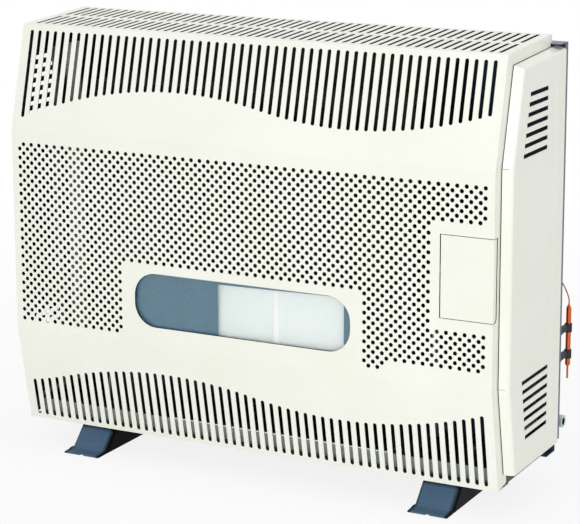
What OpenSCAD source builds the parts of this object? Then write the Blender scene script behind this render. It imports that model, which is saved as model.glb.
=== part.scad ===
// Wall mounted gas heater with a perforated front cover, a sealed combustion chamber and a balanced flue.
// Front towards -Y, floor under the feet at Z = 0, all sizes in millimetres.

/* [Casing] */
// Width of the front cover
cover_w = 706; // [680:2:1000]
// Sheet thickness of the front cover
cover_t = 1.2; // [0.8:0.1:2]
// Height of the casing's lower edge above the floor
foot_h = 41; // [25:1:80]
// Height of the lower leaning facet
low_h = 137; // [80:1:200]
// Setback of the lower edge of the casing
low_back = 27; // [5:1:60]
// Height of the upright middle facet
mid_h = 279; // [240:1:400]
// Height of the upper leaning facet
up_h = 138; // [80:1:220]
// Setback of the front edge of the top
top_back = 36; // [5:1:80]
// Distance of the top's rear edge from the back plate's rear
top_gap = 26; // [16:1:60]
// Rise of the top from front to rear
top_rise = 8; // [0:1:30]
// Depth from the front plane to the rear of the back plate
case_d = 210; // [170:1:300]

/* [Front pattern] */
// Pitch of the holes and slots
pitch = 12.5; // [10:0.5:16]
// Diameter of a perforation hole
hole_d = 5.6; // [2:0.1:6.4]
// Rows of perforation
hole_rows = 40; // [10:2:60]
// Distance of the first row below the upper fold
hole_top = 21.4; // [10:0.1:60]
// Width of the long slots
slot_w = 5.2; // [2:0.1:7]
// Number of slots in each row
slot_n = 55; // [15:2:75]
// Blank sheet above the upper slots
slot_edge = 7.6; // [4:0.1:20]
// Blank sheet below the lower slots
low_edge = 6; // [4:0.1:20]
// Slot end height at the left bend of the upper wave
up_wave_a = 64; // [20:1:100]
// Slot end height at the right bend of the upper wave
up_wave_b = 35; // [10:1:100]
// Slot end depth at the left bend of the lower wave
low_wave_a = 42; // [10:1:100]
// Slot end depth at the right bend of the lower wave
low_wave_b = 69.5; // [10:1:100]
// Blank sheet in front of the top slots
top_blank = 10; // [6:0.5:30]

/* [Window] */
// Width of the window opening
win_w = 320; // [200:1:340]
// Height of the window opening
win_h = 74; // [50:1:80]
// Corner radius of the window opening
win_r = 32; // [10:1:36]
// Height of the window centre above the floor
win_z = 240; // [220:1:245]
// Thickness of the window glass
glass_t = 4; // [3:0.5:6]

/* [Access flap] */
// Width of the flap's face
flap_w = 70.5; // [60:0.5:75]
// Height of the flap
flap_h = 105.6; // [90:0.2:120]
// Height of the flap's centre above the floor
flap_z = 319.6; // [310:0.2:330]
// Depth of the flap's lip round the corner
flap_lip = 8.5; // [5:0.5:10]
// Gap at the hinge side
flap_gap = 1.5; // [1.4:0.1:2.5]

/* [Side panels] */
// How far a side panel stands proud of the cover
proud = 14.5; // [8:0.5:25]
// Visible width of the cover's side return at the front
side_return = 19; // [16:0.5:28]
// Visible height of the cover's side return at the top
top_return = 15; // [12:0.5:24]
// Visible height of the cover's side return at the bottom
low_return = 18; // [12:0.5:28]
// Depth of the side panel's bevel
bevel = 5; // [2:0.5:10]
// Sheet thickness of a side panel
side_t = 1.5; // [1:0.1:2.5]
// Distance of the side panel's rear edge from the back plate's rear
side_gap = 11; // [5:1:30]
// Louvre slots in each group
louvre_n = 7; // [2:1:8]
// Height of a louvre slot
louvre_h = 5.6; // [2:0.1:7]

/* [Feet] */
// Width of a foot
foot_w = 55; // [30:1:80]
// Distance of each foot's centre from the middle
foot_x = 262; // [150:1:300]
// Sheet thickness of a foot
foot_t = 2; // [1.5:0.1:3]
// Radius of a foot's pressed edges
foot_r = 9; // [4:0.5:14]

/* [Controls] */
// Diameter of the control knob
knob_d = 38; // [25:1:44]
// Length of the control knob
knob_l = 14; // [10:0.5:14]
// Travel of the knob when it is pushed in
knob_push = 4; // [2:0.5:4]
// Diameter of the igniter button
button_d = 12; // [8:0.5:14]
// Travel of the igniter button
button_push = 6; // [3:0.5:8]

/* [Gas and flue] */
// Outer diameter of the gas inlet's end
inlet_d = 16.7; // [14:0.1:27]
// Outer diameter of the air intake spigot
air_d = 120; // [90:1:130]
// Outer diameter of the flue spigot
flue_d = 70; // [50:1:80]
// Height of the flue axis above the floor
flue_z = 380; // [330:1:420]
// Reach of the spigots behind the back plate
spigot_l = 50; // [40:1:80]
// Distance from the back plate's rear to the wall
wall_gap = 40; // [28:1:48]
// Outer diameter of the thermostat bulb
bulb_d = 7; // [4:0.1:9]
// Length of the thermostat bulb
bulb_l = 86; // [50:1:120]

/* [Hidden] */
$fn = 72;

eps = 0.01;
seat = 0.3; // gap between pieces that rest on each other
fit_gap = 0.05; // radial clearance of a running fit
total_d = case_d + spigot_l;
front_y = -total_d / 2;

z_bot = foot_h;
z_lo = z_bot + low_h;
z_hi = z_lo + mid_h;
z_top = z_hi + up_h;
z_rear = z_top + top_rise;
top_rear = case_d - top_gap;
side_rear = case_d - side_gap;
half_w = cover_w / 2;
side_x = half_w + proud;
low_tilt = atan(low_back / low_h);
up_tilt = atan(top_back / up_h);
top_tilt = atan(top_rise / (top_rear - top_back));
up_len = norm([up_h, top_back]);
low_len = norm([low_h, low_back]);
top_len = norm([top_rear - top_back, top_rise]);

half_pitch = pitch / 2;
hole_z0 = z_hi - hole_top;
win_x = -1.5;
up_bend = [-105, 150]; // where the upper wave turns
low_bend = [-116, 135]; // where the lower wave turns
top_edge = 6; // blank sheet behind the top slots
top_web = 10; // sheet between the two rows of top slots
top_slot = (top_len - top_edge - top_web - top_blank) / 2;
win_side = [22.8, 19.5]; // blank sheet left and right of the window
win_over = 9; // blank sheet above the window
glass_set = 2.6; // depth of the gasket between the cover and the window glass
flap_side = 16.8; // blank sheet beside the flap

flap_x0 = half_w - flap_w;
flap_z0 = flap_z - flap_h / 2;
flap_z1 = flap_z + flap_h / 2;
flap_seam = 0.9; // gap above and below the flap
lip_gap = 3.6; // finger gap behind the flap's lip
lip_cut = 5; // cut corner of the lip
pivot_x = flap_x0 + 1.2;
pivot_d = 2;
pivot_r = 0.9;

louvre_pitch = 12.5;
louvre_up = [53, 138.5]; // depth of the upper louvres at the fold, front and rear
louvre_low = [64, 157]; // depth of the lower louvres at the fold, front and rear
mitre = 0.6; // slit at the panel's folds
panel_seam = 1.2; // gap between the cover's side and a side panel
press_line = 36; // distance of the pressed line from the side panel's rear edge
press_w = 4;
press_t = 0.8;
low_lip = 37; // width of the cover's lower lip
rim_x = side_x - side_t - seat;
rim_over = 4; // how far the back plate's top flange reaches under the cover
rim_front = side_rear - 8; // front edge of the back plate's side rims
back_t = 1.2;
back_top = z_rear - 11.5;
back_bot = z_bot + 1.5;

tray_z = z_bot + cover_t + seat;
tray_t = 1.2;
tray_d = [45, case_d - back_t - seat];
tray_step = 9; // how far the tray's lip reaches in front of its floor
tray_drop = 6; // height of the lip's lower edge above the floor of the tray
tray_x = half_w - cover_t - seat;

ch_x = [91 - half_w, half_w - 135]; // combustion chamber, left and right
ch_d = [62, case_d - 50]; // combustion chamber, front and rear
ch_z = [110, 520]; // combustion chamber, bottom and top
ch_t = 1.5;
burner_d = (ch_d[0] + ch_d[1]) / 2 + 4; // depth of the burner's axis
sight_x = 56; // middle of the sight opening
sight_w = win_w - 110;
sight_h = win_h + 14;
sight_z = win_z - 4;
sight_d = 12.5; // front face of the sight frame
sight_t = 4;
frame_t = 1.5; // sheet of the sight frame
sight_bar = [43, 51]; // the frame's upright bar

ctl_x = half_w - 41; // axis of the knob and of the igniter
knob_z = 330;
button_z = 278;
ctl_d = 28; // front face of the control bracket
ctl_t = 1.2;
knob_rear = ctl_d - knob_push - 1;
plunger_r = 4;
button_r = button_d / 2;
valve_x = [ctl_x - 25, ctl_x + 31];
valve_d = [ctl_d + ctl_t + seat, 79.5];
valve_z = [knob_z - 28, knob_z + 30];
pipe_r = 6;
gas_r = pipe_r - 1; // pipe from the valve to the injector
inlet_z = 81;
inlet_y = case_d + inlet_d / 2 + 4;
inlet_x = side_x - 0.5;
feed_x = ctl_x + 18;
feed_d = 60;
gas_out = [55, knob_z - 14]; // depth and height of the valve's outlet
gas_z = ch_z[0] - 15.5; // height of the pipe to the injector
riser_x = valve_x[0] - 35; // upright run of the pipe to the injector

clip_t = 1.3; // wall of a bulb clip
bulb_x = side_x - bulb_d / 2 - clip_t;
bulb_y = case_d + wall_gap - bulb_d / 2 - clip_t - seat;
bulb_z = [150.5, 150.5 + bulb_l];
cap_r = 0.9;
cap_hole = [ctl_x + 26, 276];

// ---------- helpers ----------

module at_front() translate([0, front_y, 0]) children();

// a section drawn as (depth, height), pushed out along X
module along_x(x0, x1) rotate([90, 0, 90]) translate([0, 0, x0]) linear_extrude(x1 - x0) children();

// a section drawn as (x, height), pushed out from depth d0 to d1
module along_y(d0, d1) translate([0, d1, 0]) rotate([90, 0, 0]) linear_extrude(d1 - d0) children();

module box(x, d, z) translate([x[0], d[0], z[0]]) cube([x[1] - x[0], d[1] - d[0], z[1] - z[0]]);

module rod_y(x, z, r, d0, d1) translate([x, d0, z]) rotate([-90, 0, 0]) cylinder(r = r, h = d1 - d0);

module rod_x(d, z, r, x0, x1) translate([x0, d, z]) rotate([0, 90, 0]) cylinder(r = r, h = x1 - x0);

module rod_z(x, d, r, z0, z1) translate([x, d, z0]) cylinder(r = r, h = z1 - z0);

module tube_y(x, z, ro, ri, d0, d1) difference() {
    rod_y(x, z, ro, d0, d1);
    rod_y(x, z, ri, d0 - 1, d1 + 1);
}

module round_rect(w, h, r) {
    square([w - 2 * r, h], center = true);
    square([w, h - 2 * r], center = true);
    for (x = [-1, 1]) for (y = [-1, 1]) translate([x * (w / 2 - r), y * (h / 2 - r)]) circle(r = r);
}

module slot(l) {
    translate([0, slot_w / 2]) circle(d = slot_w);
    translate([0, l - slot_w / 2]) circle(d = slot_w);
    translate([-slot_w / 2, slot_w / 2]) square([slot_w, l - slot_w]);
}

// a round pipe through a list of points
module pipe_run(pts, r) {
    for (i = [0:len(pts) - 2]) {
        v = pts[i + 1] - pts[i];
        translate(pts[i]) rotate([0, acos(v[2] / norm(v)), atan2(v[1], v[0])]) cylinder(r = r, h = norm(v));
    }
    for (i = [1:len(pts) - 2]) translate(pts[i]) sphere(r = r);
}

function unit(v) = v / norm(v);
function inward(a, b) = let(v = unit(b - a)) [v[1], -v[0]];
function offset_at(p, i, t) =
    i == 0 ? p[0] + inward(p[0], p[1]) * t
    : i == len(p) - 1 ? p[i] + inward(p[i - 1], p[i]) * t
    : let(a = inward(p[i - 1], p[i]), b = inward(p[i], p[i + 1])) p[i] + (a + b) * t / (1 + a * b);
function offset_path(p, t) = [for (i = [0:len(p) - 1]) offset_at(p, i, t)];
function reversed(p) = [for (i = [len(p) - 1:-1:0]) p[i]];

// a bend of radius r at point b between a and c, as k + 1 points
function bend(a, b, c, r, k) =
    let(u = unit(a - b), v = unit(c - b), half = acos(u * v) / 2, l = r / tan(half),
        m = b + unit(u + v) * r / sin(half), s = b + u * l - m, e = b + v * l - m)
    [for (i = [0:k]) let(w = unit(s * (k - i) + e * i)) m + w * r];

// height of the wave at x between its two bends; left of `ease` it runs on more gently
function wave(x, at, ya, yb, ease = -1000) =
    let(mid = (at[0] + at[1]) / 2, k = (ya - yb) / 2 / pow((at[1] - at[0]) / 2, 2), far = max(0, ease - x))
    x < mid ? ya - k * (pow(x - at[0], 2) - 2.4 * far * far) : yb + k * pow(x - at[1], 2);

// front and top of the cover, from the lower edge to the top's rear edge
front_pts = [[low_back, z_bot], [0, z_lo], [0, z_hi], [top_back, z_top], [top_rear, z_rear]];

function bent_front() = concat(
    [front_pts[0]],
    bend(front_pts[0], front_pts[1], front_pts[2], 14, 3),
    bend(front_pts[1], front_pts[2], front_pts[3], 14, 3),
    bend(front_pts[2], front_pts[3], front_pts[4], 5, 6),
    [front_pts[4]]);

// frames of the leaning facets: x across, y up the sheet, z out of it
module upper_facet() translate([0, 0, z_hi]) rotate([90 - up_tilt, 0, 0]) children();
module lower_facet() translate([0, 0, z_lo]) rotate([90 + low_tilt, 0, 0]) children();
module top_facet() translate([0, top_back, z_top]) rotate([top_tilt, 0, 0]) children();

// ---------- front cover ----------

function has_hole(x, z) =
    let(near_flap = x > flap_x0 - flap_side && abs(z - flap_z) < flap_h / 2 + 16,
        over_window = x > win_x - win_w / 2 - win_side[0] && x < win_x + win_w / 2 + win_side[1],
        near_window = over_window && z < win_z + win_h / 2 + win_over)
    !near_flap && !near_window;

module perforation() {
    for (j = [0:hole_rows - 1]) for (n = [0:slot_n - 1]) {
        x = (2 * n - j % 2 - (slot_n - 1.5)) * half_pitch;
        z = hole_z0 - j * half_pitch;
        last_rows = hole_rows - 1 - j; // the field's lower right corner is drawn in
        if (has_hole(x, z) && (last_rows > 1 || x < flap_x0 - flap_side * 4 - (1 - last_rows) * pitch))
            translate([x, z]) circle(d = hole_d);
    }
}

module slot_row() for (n = [0:slot_n - 1]) translate([(n - (slot_n - 1) / 2) * pitch, 0]) children();

module cover_slots() {
    upper_facet() translate([0, 0, -8]) linear_extrude(16) for (n = [0:slot_n - 1]) {
        x = (n - (slot_n - 1) / 2) * pitch;
        y = wave(x, up_bend, up_wave_a, up_wave_b);
        translate([x, y]) slot(up_len - slot_edge - y);
    }
    lower_facet() translate([0, 0, -8]) linear_extrude(16) for (n = [0:slot_n - 1]) {
        x = (n - (slot_n - 1) / 2) * pitch;
        y = wave(x, low_bend, low_wave_a, low_wave_b, low_bend[0] - 170);
        translate([x, low_edge - low_len]) slot(low_len - low_edge - y);
    }
    top_facet() translate([0, 0, -4]) linear_extrude(8) {
        slot_row() translate([0, top_blank]) slot(top_slot);
        slot_row() translate([0, top_len - top_edge - top_slot]) slot(top_slot);
    }
}

module flap_cutout() {
    difference() {
        box([flap_x0 - flap_gap, half_w + 1], [-1, flap_lip + lip_gap],
            [flap_z0 - flap_seam, flap_z1 + flap_seam]);
        along_x(half_w - cover_t - eps, half_w + 2)
            polygon([[flap_lip + lip_gap + 1, flap_z0 - 2], [flap_lip + lip_gap + 1, flap_z0 + lip_cut],
                [flap_lip + lip_gap - lip_cut, flap_z0 - 2]]);
    }
}

module front_cover() {
    sheet = bent_front();
    lip_in = [front_pts[0] + [low_lip, 0]];
    rear_lip = [front_pts[4] - [0, z_rear - back_top - seat]];
    path = concat(lip_in, sheet, rear_lip);
    color("ivory") at_front() difference() {
        union() {
            along_x(-half_w, half_w) polygon(concat(path, reversed(offset_path(path, cover_t))));
            for (x = [-half_w, half_w - cover_t]) along_x(x, x + cover_t)
                polygon(concat(sheet, reversed(offset_path(front_pts, side_return + 9))));
        }
        box([-cover_w, cover_w], [top_rear - rim_over - seat, case_d], [z_bot, back_top + seat]);
        for (s = [-1, 1]) rod_z(s * cover_screw_x, cover_screw_d, 2.3, z_bot - 1, z_bot + cover_t + 1);
        along_y(-1, 5) perforation();
        cover_slots();
        along_y(-1, 5) translate([win_x, win_z]) round_rect(win_w, win_h, win_r);
        flap_cutout();
    }
}

// ---------- side panels ----------

// outline of a side panel set in by `inset` from its seam, with its lower edge at zb
function panel_pts(inset, zb, rear) =
    let(back = side_return + inset, zt = z_top - top_return - inset, k = top_rise / (top_rear - top_back),
        df = (zt - z_hi) / up_h * top_back + back)
    [[(z_lo - zb) / low_h * low_back + back, zb], [back, z_lo], [back, z_hi], [df, zt],
        [rear, zt + k * (rear - df)], [rear, zb]];

// a tray with a bevel, whose front edge is rounded over in two steps
module panel_shape(x0, x1, inset, zb, rear) {
    hull() {
        along_x(x0, x0 + eps) polygon(panel_pts(inset, zb, rear));
        along_x(x1 - 2, x1 - 2 + eps) polygon(panel_pts(inset + bevel * 0.7, zb, rear));
        along_x(x1 - 0.6, x1 - 0.6 + eps) polygon(panel_pts(inset + bevel, zb, rear));
        along_x(x1 - eps, x1) polygon(panel_pts(inset + bevel + 1.6, zb, rear));
    }
}

module louvres() {
    for (k = [0:louvre_n - 1]) {
        z_up = z_top - 53 - k * louvre_pitch;
        z_low = z_lo - 3 - k * louvre_pitch;
        d_up = (z_up - z_hi) / up_h * top_back + louvre_up[0];
        d_low = (z_lo - z_low) / low_h * low_back + louvre_low[0];
        box([side_x - 5, side_x + 1], [d_up, louvre_up[1]], [z_up - louvre_h / 2, z_up + louvre_h / 2]);
        box([side_x - 5, side_x + 1], [d_low, louvre_low[1]], [z_low - louvre_h / 2, z_low + louvre_h / 2]);
    }
}

module side_panel() {
    difference() {
        panel_shape(half_w + panel_seam, side_x, 0, z_bot + low_return, side_rear);
        panel_shape(half_w - 1, side_x - side_t, side_t, z_bot + low_return + side_t, side_rear + 1);
        box([half_w - 2, side_x - side_t], [rim_front - 1, side_rear + 2],
            [z_bot, z_bot + low_return + 2 * side_t]);
        louvres();
        for (z = [z_lo, z_hi])
            box([half_w - 1, half_w + 9], [side_return - 2, side_return + bevel],
                [z - mitre / 2, z + mitre / 2]);
        translate([side_x, side_rear - press_line, z_bot + 60]) linear_extrude(z_top - z_bot - 100)
            polygon([[eps, 0], [-press_t, 1], [eps, press_w]]);
    }
}

module side_panel_right() color("ivory") at_front() side_panel();

module side_panel_left() color("ivory") at_front() mirror([1, 0, 0]) side_panel();

// ---------- back plate ----------

module back_plate() {
    d0 = case_d - back_t;
    color("slategray") at_front() difference() {
        box([-rim_x, rim_x], [top_rear - rim_over, case_d], [back_bot, back_top]);
        box([-rim_x + back_t, rim_x - back_t], [top_rear - 10, d0], [back_bot + back_t, back_top - back_t]);
        for (s = [-1, 1]) {
            box([s * rim_x - 3, s * rim_x + 3], [top_rear - 10, rim_front], [back_bot - 1, back_top - back_t]);
            box([s * rim_x - 3, s * rim_x + 3], [top_rear - 10, side_rear + 1], [back_top - 16, back_top - back_t]);
        }
        box([-tray_x - seat, tray_x + seat], [top_rear - 10, d0], [back_bot - 1, back_bot + back_t + 1]);
        for (s = [-1, 1])
            box([s * half_w + s * 19 - 12, s * half_w + s * 19 + 12], [top_rear - 10, case_d + 1],
                [back_bot - 1, z_bot + low_return + 2]);
        rod_y(0, flue_z, air_d / 2 + 0.5, d0 - 1, case_d + 1);
        rod_y(feed_x, inlet_z, pipe_r + 4, d0 - 1, case_d + 1);
        rod_y(cap_hole[0], cap_hole[1], 4, d0 - 1, case_d + 1);
        for (x = [-1, 1]) for (z = rail_z) rod_y(x * rail_screw_x, z, 2.1, d0 - 1, case_d + 1);
    }
}

// ---------- feet ----------

foot_toe = 13; // depth of the toe's front edge
foot_heel = foot_toe + 25; // where the raking front begins
foot_brow = foot_toe + 55; // where the raking front meets the casing
foot_back = case_d - 24;
foot_top = tray_z;
heel_z = foot_t + 10;
toe_lip = 1.6; // height at which the toe's flange runs into the rounded sides
foot_rake = [[foot_toe, 0], [foot_toe, foot_t], [foot_toe + 11, foot_t + 0.4], [foot_toe + 17, foot_t + 2],
    [foot_toe + 22, foot_t + 6], [foot_heel, heel_z], [foot_brow, foot_top], [foot_back, foot_top], [foot_back, 0]];

// a long bar parallel to the foot's raking front, `sunk` below it, with rounded upper edges
module rake_bar(w, r, sunk) {
    tilt = atan((foot_brow - foot_heel) / (foot_top - heel_z));
    translate([0, foot_heel, heel_z]) rotate([-tilt, 0, 0]) translate([0, sunk, -90]) linear_extrude(200) {
        translate([-w / 2, r]) square([w, 200]);
        translate([-w / 2 + r, 0]) square([w - 2 * r, 200]);
        for (s = [-1, 1]) translate([s * (w / 2 - r), r]) circle(r = r);
    }
}

module foot() {
    inner = [[foot_heel - 3 + foot_t, -1], [foot_heel - 3 + foot_t, foot_t + 2], [foot_heel + foot_t, foot_t + 6.5],
        [foot_brow + 1, foot_top - foot_t], [foot_back + 1, foot_top - foot_t], [foot_back + 1, -1]];
    difference() {
        intersection() {
            along_x(-foot_w / 2, foot_w / 2) polygon(foot_rake);
            union() {
                rake_bar(foot_w, foot_r, 0);
                box([-foot_w, foot_w], [0, foot_heel - 3], [-1, foot_t + toe_lip]);
            }
        }
        intersection() {
            along_x(-foot_w / 2 + foot_t, foot_w / 2 - foot_t) polygon(inner);
            rake_bar(foot_w - 2 * foot_t, foot_r - foot_t, foot_t - 0.4);
        }
        rod_z(0, foot_toe, 3, -1, foot_t + 3);
        for (d = foot_screw_d) rod_z(0, d, 3.2, foot_top - foot_t - 1, foot_top + 1);
    }
}

module foot_left() color("slategray") at_front() translate([-foot_x, 0, 0]) foot();

module foot_right() color("slategray") at_front() translate([foot_x, 0, 0]) foot();

foot_screw_d = [95, foot_back - 14];

module foot_screws() {
    color("silver") at_front() for (s = [-1, 1]) for (d = foot_screw_d) {
        rod_z(s * foot_x, d, 3, foot_top - foot_t - 5, tray_z + tray_t + 0.1);
        rod_z(s * foot_x, d, 5.5, tray_z + tray_t, tray_z + tray_t + 3);
        rod_z(s * foot_x, d, 5.5, foot_top - foot_t - 5, foot_top - foot_t);
    }
}

// ---------- base tray ----------

rail_h = 21; // upstand that shows through the lower slots
air_gap_x = 165; // half width of the air opening in the tray
air_gap_d = tray_d[0] * [1, 1] + [21, 61]; // front and rear of the air opening, out of sight from the front

module base_tray() {
    z1 = tray_z + rail_h;
    color("gainsboro") at_front() difference() {
        box([-tray_x, tray_x], tray_d, [tray_z, z1]);
        box([-tray_x - 1, tray_x + 1], [tray_d[0] - 1, tray_d[0] + tray_step], [tray_z - 1, tray_z + tray_drop]);
        box([-tray_x + tray_t, tray_x - tray_t], [tray_d[0] + tray_step + tray_t, tray_d[1] - tray_t],
            [tray_z + tray_t, z1 + 1]);
        box([-tray_x + tray_t, tray_x - tray_t], [tray_d[0] + tray_t, tray_d[0] + tray_step + tray_t + 1],
            [tray_z + tray_drop + tray_t, z1 + 1]);
        box([-air_gap_x, air_gap_x], air_gap_d, [tray_z - 1, tray_z + 3]);
        box([-tray_x + 20, tray_x - 20], [tray_d[1] - 3, tray_d[1] + 1], [tray_z + 8, z1 + 1]);
        for (s = [-1, 1]) {
            for (d = foot_screw_d) rod_z(s * foot_x, d, 3.2, tray_z - 1, tray_z + 3);
            rod_z(s * cover_screw_x, cover_screw_d, 2.1, tray_z - 1, tray_z + 3);
        }
    }
}

cover_screw_x = 170;
cover_screw_d = tray_d[0] + tray_step + 5.5;

module cover_screws() {
    color("silver") at_front() for (s = [-1, 1]) {
        rod_z(s * cover_screw_x, cover_screw_d, 2, z_bot - 1, tray_z + 8);
        rod_z(s * cover_screw_x, cover_screw_d, 4.5, z_bot - 3, z_bot);
    }
}

// ---------- window ----------

glass_d = cover_t + glass_set;
glass_w = win_w + 12;
glass_h = win_h + 10;

module window_glass() {
    color([0.42, 0.55, 0.65, 0.6]) at_front() translate([win_x, 0, win_z])
        along_y(glass_d, glass_d + glass_t) round_rect(glass_w, glass_h, 6);
}

module window_gasket() {
    color([0.1, 0.1, 0.1]) at_front() translate([win_x, 0, win_z]) along_y(cover_t, glass_d) difference() {
        round_rect(glass_w, glass_h, 6);
        round_rect(win_w + 0.6, win_h + 0.6, win_r + 0.3);
    }
}

module window_retainer() {
    back = glass_d + glass_t + seat;
    color("silver") at_front() translate([win_x, 0, win_z]) difference() {
        union() {
            along_y(cover_t, cover_t + 1) translate([0, -3]) square([win_w + 34, win_h + 18], center = true);
            along_y(cover_t, back + 1) round_rect(glass_w + 3, glass_h + 2.6, 6);
        }
        along_y(cover_t - 1, back) round_rect(glass_w + 0.6, glass_h + 0.6, 6);
        along_y(cover_t - 1, back + 2) round_rect(win_w + 2, win_h + 2, win_r + 1);
    }
}

// ---------- access flap ----------

module access_flap() {
    x1 = half_w;
    color("ivory") at_front() difference() {
        union() {
            box([flap_x0, x1], [0, cover_t], [flap_z0, flap_z1]);
            box([x1 - cover_t, x1], [0, flap_lip], [flap_z0, flap_z1]);
            box([x1 - 12, x1], [flap_lip - cover_t, flap_lip], [flap_z - 14, flap_z + 14]);
            for (z = [flap_z0, flap_z1 - 3])
                box([pivot_x - 1.2, pivot_x + 4], [0, pivot_d + 2], [z, z + 3]);
            rod_z(pivot_x, pivot_d + 0.4, pivot_r, flap_z0 - 4, flap_z0 + 3);
            rod_z(pivot_x, pivot_d + 0.4, pivot_r, flap_z1 - 3, flap_z1 + 4);
        }
        along_x(x1 - cover_t - 1, x1 + 1)
            polygon([[flap_lip + 1, flap_z0 - 1], [flap_lip + 1, flap_z0 + lip_cut],
                [flap_lip - lip_cut - 1, flap_z0 - 1]]);
    }
}

module flap_hinge_brackets() {
    pd = pivot_d + 0.4;
    color("silver") at_front() for (s = [0, 1]) difference() {
        z0 = s == 0 ? flap_z0 - 4.6 : flap_z1 + 1;
        box([pivot_x - 16, pivot_x + 3], [cover_t, pd + 3], [z0, z0 + 3.6]);
        rod_z(pivot_x, pd, pivot_r + fit_gap, z0 - 1, z0 + 5);
    }
}

module flap_magnet() {
    x1 = half_w - cover_t;
    color("dimgray") at_front() {
        box([x1 - 9, x1], [flap_lip + lip_gap + seat, flap_lip + lip_gap + 8], [flap_z - 10, flap_z + 10]);
        box([x1 - 9, x1 - 3], [flap_lip + seat, flap_lip + lip_gap + 1], [flap_z - 8, flap_z + 8]);
    }
}

// ---------- combustion chamber ----------

module sight_box(x0, w, h, d0, d1) box([x0 - w / 2, x0 + w / 2], [d0, d1], [sight_z - h / 2, sight_z + h / 2]);

module combustion_chamber() {
    front = sight_d + frame_t + sight_t + 2 * seat;
    color([0.2, 0.2, 0.2]) at_front() difference() {
        union() {
            box(ch_x, ch_d, ch_z);
            sight_box(sight_x, sight_w + 6, sight_h + 6, front, ch_d[0] + 1);
        }
        box([ch_x[0] + ch_t, ch_x[1] - ch_t], [ch_d[0] + ch_t, ch_d[1] - ch_t], [ch_z[0] + ch_t, ch_z[1] - ch_t]);
        sight_box(sight_x, sight_w, sight_h, front - 1, ch_d[0] + ch_t + 1);
        box([-150, 150], [burner_d - 30, burner_d + 30], [ch_z[0] - 1, ch_z[0] + 3]);
        rod_y(0, flue_z, flue_d / 2 + 0.2, ch_d[1] - 3, ch_d[1] + 1);
        box([-duct_port_w / 2, duct_port_w / 2], [ch_d[1] - 3, ch_d[1] + 1], duct_port_z);
    }
}

fin_n = 10;
fin_t = 2;
fin_h = 14;

module exchanger_fins() {
    mid = (ch_x[0] + ch_x[1]) / 2;
    fin_pitch = (ch_x[1] - ch_x[0] - 20) / fin_n;
    color([0.22, 0.22, 0.22]) at_front() for (k = [0:fin_n - 1])
        box([0, fin_t] + (mid + (k - (fin_n - 1) / 2) * fin_pitch - fin_t / 2) * [1, 1], [ch_d[0] - fin_h, ch_d[0]],
            [sight_z + sight_h / 2 + 30, ch_z[1] - 10]);
}

module sight_frame() {
    color("gainsboro") at_front() difference() {
        sight_box(sight_x, sight_w + 12, sight_h + 6, sight_d, sight_d + frame_t);
        difference() {
            sight_box(sight_x, sight_w - 4, sight_h - 8, sight_d - 1, sight_d + frame_t + 1);
            box(sight_bar, [sight_d - 2, sight_d + frame_t + 2], [sight_z - sight_h, sight_z + sight_h]);
        }
    }
}

module sight_glass() {
    color([0.85, 0.93, 0.93, 0.5]) at_front()
        sight_box(sight_x, sight_w + 4, sight_h + 2, sight_d + frame_t + seat, sight_d + frame_t + seat + sight_t);
}

module sight_gasket() {
    d0 = sight_d + frame_t;
    color("whitesmoke") at_front() difference() {
        sight_box(sight_x, sight_w + 12, sight_h + 6, d0, d0 + sight_t + 2 * seat);
        sight_box(sight_x, sight_w + 4.6, sight_h + 2.6, d0 - 1, d0 + sight_t + 2);
    }
}

bracket_w = 36;
bracket_t = 1.5;

module chamber_bracket(x0) {
    z0 = tray_z + tray_t;
    difference() {
        box([x0, x0 + bracket_w], [burner_d - 35, burner_d + 35], [z0, ch_z[0]]);
        box([x0 + bracket_t, x0 + bracket_w - bracket_t], [burner_d - 36, burner_d + 36],
            [z0 + bracket_t, ch_z[0] - bracket_t]);
        rod_x(burner_d, gas_z, pipe_r, x0 - 1, x0 + bracket_w + 1);
    }
}

module chamber_bracket_left() color("silver") at_front() chamber_bracket(ch_x[0] + 6);

module chamber_bracket_right() color("silver") at_front() chamber_bracket(ch_x[1] - 4 - bracket_w);

// ---------- burner ----------

burner_z = ch_z[0] + 42;
burner_r = 14;
burner_t = 1.2;
plate_t = 1.5;
inj_x = 140; // injector, where the gas enters the burner
pilot_x = -96;
spark_x = pilot_x - 20;
probe_x = pilot_x + 16;

module burner_plate() {
    z1 = ch_z[0];
    color("gray") at_front() difference() {
        box([-160, 160], [burner_d - 37, burner_d + 37], [z1 - plate_t, z1]);
        rod_z(pilot_x, burner_d, 4.2, z1 - 3, z1 + 1);
        for (x = [spark_x, probe_x]) rod_z(x, burner_d, 3.2, z1 - 3, z1 + 1);
        rod_z(inj_x, burner_d, 7.2, z1 - 3, z1 + 1);
    }
}

tube_x = [-60, inj_x + 6];

module burner_tube() {
    color("silver") at_front() difference() {
        union() {
            rod_x(burner_d, burner_z, burner_r, tube_x[0], tube_x[1]);
            for (x = [tube_x[0] + 20, inj_x - 40])
                box([x, x + 3], [burner_d - 8, burner_d + 8], [ch_z[0], burner_z - burner_r + 3]);
            rod_z(inj_x, burner_d, 9, ch_z[0] + 16, burner_z - 8);
        }
        rod_x(burner_d, burner_z, burner_r - burner_t, tube_x[0] + burner_t, tube_x[1] - burner_t);
        rod_z(inj_x, burner_d, 7.5, ch_z[0] + 14, burner_z);
        for (k = [0:18]) translate([tube_x[0] + 10 + k * 10, burner_d - 6, burner_z]) cube([1.6, 12, 20]);
    }
}

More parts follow.
